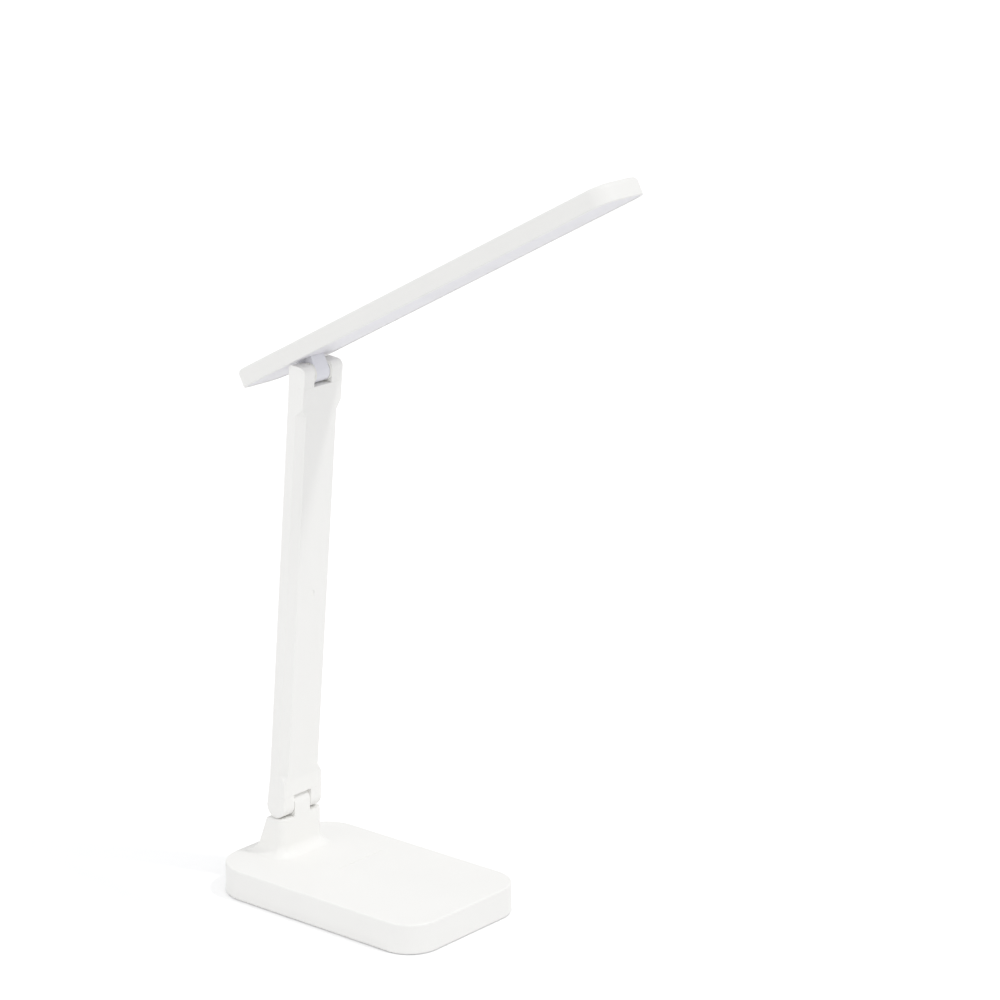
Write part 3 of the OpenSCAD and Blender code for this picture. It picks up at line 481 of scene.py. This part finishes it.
def on_knuckle(edge):
    p = in_head(middle(edge))
    return convex(edge) and close(abs(p.y), KNUCKLE_HALF) and math.hypot(p.x, p.z) > BORE


def close_seam(mesh):
    """Brings the front cover's ends closer to the ears, so that the seam is a hairline."""
    ends = [in_arm(v.co).z for v in mesh.verts]
    low, high = min(ends), max(ends)
    for vert, place in zip(mesh.verts, ends):
        if close(place, low):
            vert.co -= ARM_UP * SEAM_SHIFT
        elif close(place, high):
            vert.co += ARM_UP * SEAM_SHIFT


def make_skins():
    skin("base_top_shell", "base_housing", "base", SHELL, [
        (PEDESTAL_ROUND, 4, on_pedestal_rear_corner), (SHOULDER_ROUND, 3, on_shoulder),
        (TONGUE_ROUND, 3, on_tongue), (BASE_RIM_ROUND, 3, on_base_rim),
    ])
    skin("arm_rear_shell", "arm_rear_half", "arm", ARM_SHELL, [
        (ARM_REAR_ROUND, 3, on_arm_rear_edge), (ARM_SIDE_ROUND, 3, on_arm_side),
        (SLOT_ROUND, 3, on_slot_edge),
    ])
    skin("arm_front_cover", "arm_front_half", "arm", ARM_SHELL, [
        (COVER_ROUND, 3, on_cover_outside),
    ], close_seam)
    skin("head_top_shell", "head_housing", "head", HEAD_SHELL_PAINTED_SHADE, [
        (HEAD_ROUND, 3, on_head_rim),
    ])
    skin("hinge_bracket", "head_knuckle", "head", KNUCKLE_PAINTED_SHADE, [
        (KNUCKLE_ROUND, 3, on_knuckle),
    ])


make_skins()


# Floor, world, lamps and camera
def white_for_camera(tree, plain, white):
    """Mixes two shaders so that the camera, reflections and glass see the second one."""
    path = tree.nodes.new("ShaderNodeLightPath")
    first = tree.nodes.new("ShaderNodeMath")
    first.operation = "MAXIMUM"
    tree.links.new(path.outputs["Is Camera Ray"], first.inputs[0])
    tree.links.new(path.outputs["Is Glossy Ray"], first.inputs[1])
    second = tree.nodes.new("ShaderNodeMath")
    second.operation = "MAXIMUM"
    tree.links.new(first.outputs[0], second.inputs[0])
    tree.links.new(path.outputs["Is Transmission Ray"], second.inputs[1])
    mix = tree.nodes.new("ShaderNodeMixShader")
    tree.links.new(second.outputs[0], mix.inputs[0])
    tree.links.new(plain, mix.inputs[1])
    tree.links.new(white, mix.inputs[2])
    return mix.outputs[0]


def make_floor():
    half = FLOOR_HALF
    corners = [(-half, -half, 0), (half, -half, 0), (half, half, 0), (-half, half, 0)]
    data = bpy.data.meshes.new("studio_floor")
    data.from_pydata(corners, [], [(0, 1, 2, 3)])
    floor = bpy.data.objects.new("studio_floor", data)
    bpy.context.scene.collection.objects.link(floor)
    material = bpy.data.materials.new("studio_floor")
    material.use_nodes = True
    tree = material.node_tree
    tree.nodes.clear()
    output = tree.nodes.new("ShaderNodeOutputMaterial")
    plain = tree.nodes.new("ShaderNodeBsdfDiffuse")
    plain.inputs["Color"].default_value = (*FLOOR_TONE, 1)
    seen = tree.nodes.new("ShaderNodeBsdfDiffuse")
    seen.inputs["Color"].default_value = (*SEEN_TONE, 1)
    lift = tree.nodes.new("ShaderNodeEmission")
    lift.inputs["Color"].default_value = (1, 1, 1, 1)
    lift.inputs["Strength"].default_value = FLOOR_LIFT
    add = tree.nodes.new("ShaderNodeAddShader")
    tree.links.new(seen.outputs[0], add.inputs[0])
    tree.links.new(lift.outputs[0], add.inputs[1])
    mixed = white_for_camera(tree, plain.outputs[0], add.outputs[0])
    tree.links.new(mixed, output.inputs["Surface"])
    data.materials.append(material)


def make_world():
    world = bpy.data.worlds.new("studio")
    bpy.context.scene.world = world
    world.use_nodes = True
    tree = world.node_tree
    tree.nodes.clear()
    output = tree.nodes.new("ShaderNodeOutputWorld")
    place = tree.nodes.new("ShaderNodeTexCoord")
    split = tree.nodes.new("ShaderNodeSeparateXYZ")
    tree.links.new(place.outputs["Generated"], split.inputs[0])
    ramp = tree.nodes.new("ShaderNodeMapRange")
    ramp.inputs["From Min"].default_value = SKY_START
    ramp.inputs["From Max"].default_value = 1.0
    ramp.inputs["To Min"].default_value = SKY_LOW
    ramp.inputs["To Max"].default_value = SKY_HIGH
    tree.links.new(split.outputs["Z"], ramp.inputs["Value"])
    sky = tree.nodes.new("ShaderNodeBackground")
    sky.inputs["Color"].default_value = (*SKY_TINT, 1)
    tree.links.new(ramp.outputs["Result"], sky.inputs["Strength"])
    white = tree.nodes.new("ShaderNodeBackground")
    white.inputs["Color"].default_value = (1, 1, 1, 1)
    white.inputs["Strength"].default_value = 1.0
    tree.links.new(white_for_camera(tree, sky.outputs[0], white.outputs[0]), output.inputs["Surface"])


def make_sun(name, place, spread, strength):
    """A sun that shines from a place towards the origin, with a spread in degrees."""
    data = bpy.data.lights.new(name, "SUN")
    data.angle = math.radians(spread)
    data.energy = strength
    lamp = bpy.data.objects.new(name, data)
    lamp.location = place
    lamp.rotation_euler = (-Vector(place)).to_track_quat("-Z", "Y").to_euler()
    bpy.context.scene.collection.objects.link(lamp)


# The camera's turn and drop, and the point at the frame's centre
CAMERA_TURN = math.radians(39.94)
CAMERA_DROP = math.radians(16.10)
CAMERA_DISTANCE = 1.550
CAMERA_AIM = Vector((0.0829, 0, 0.2127))
CAMERA_LENS = 126.0
CAMERA_FORWARD = Vector((
    -math.sin(CAMERA_TURN) * math.cos(CAMERA_DROP),
    math.cos(CAMERA_TURN) * math.cos(CAMERA_DROP),
    -math.sin(CAMERA_DROP),
))


def make_camera():
    data = bpy.data.cameras.new("camera")
    data.lens = CAMERA_LENS
    data.sensor_width = 36.0
    data.sensor_fit = "HORIZONTAL"
    data.clip_start = 0.05
    data.clip_end = 50.0
    camera = bpy.data.objects.new("camera", data)
    camera.location = CAMERA_AIM - CAMERA_DISTANCE * CAMERA_FORWARD
    camera.rotation_euler = CAMERA_FORWARD.to_track_quat("-Z", "Y").to_euler()
    bpy.context.scene.collection.objects.link(camera)
    bpy.context.scene.camera = camera


# Floor: half its side in metres, its tone in the light, and its tone and glow for the camera
FLOOR_HALF = 14.0
FLOOR_TONE = (0.82, 0.82, 0.825)
SEEN_TONE = (0.99, 0.99, 0.99)
FLOOR_LIFT = 0.16

# Sky: its tint, and its strengths at a slope under the horizon and overhead
SKY_TINT = (0.985, 0.99, 1.0)
SKY_START = -0.2
SKY_LOW = 0.86
SKY_HIGH = 0.75

# Suns: a crisp one that casts the head's shadow on the arm, a broad one on the near side, and a broad one
# in front, each with the place that it shines from, its spread in degrees and its strength
SUNS = (
    ("key", (0.6, 0.2, 1.0), 4, 0.62),
    ("fill", (-0.1, -1.0, 0.15), 60, 0.59),
    ("haze", (0.8, 0.35, 0.8), 70, 0.24),
)

make_world()
make_floor()
for sun_name, sun_place, sun_spread, sun_strength in SUNS:
    make_sun(sun_name, sun_place, sun_spread, sun_strength)
make_camera()

bpy.context.scene.view_settings.view_transform = "Standard"
